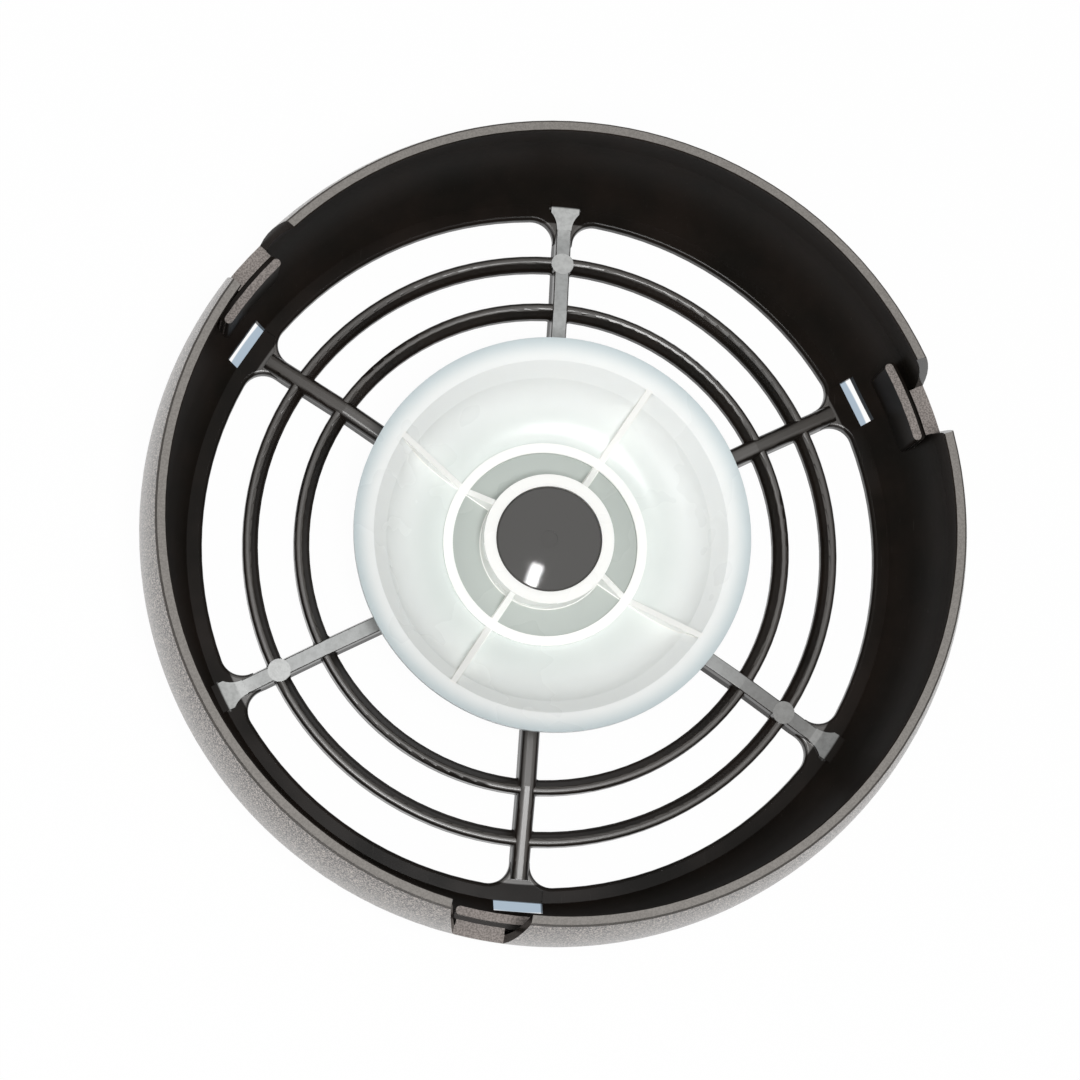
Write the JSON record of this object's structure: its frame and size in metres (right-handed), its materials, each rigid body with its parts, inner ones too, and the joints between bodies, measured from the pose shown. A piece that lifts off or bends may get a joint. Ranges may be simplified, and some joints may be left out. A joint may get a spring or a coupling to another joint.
{
  "type": "motor front cover",
  "caption": "Round front cover for a motor: barrel wall with a notched twist-lock rim, a spoked finger guard, and a white ribbed bowl seated on its hub.",
  "frame": {"origin": "centre of the front face, on which the cover rests with its open side up", "axes": "+Z along the cover's axis, from the grille to the open rim; +X points out between a flat-topped spoke and a round-topped one"},
  "size_m": [0.2092, 0.2092, 0.052],
  "materials": {
    "cover_plastic": "dark brown-black moulded plastic, satin inside and finely textured outside",
    "bowl_plastic": "milky translucent white moulded plastic"
  },
  "bodies": {
    "root": {"front_cover": "cover_plastic", "hub_bowl": "bowl_plastic"}
  },
  "joints": []
}
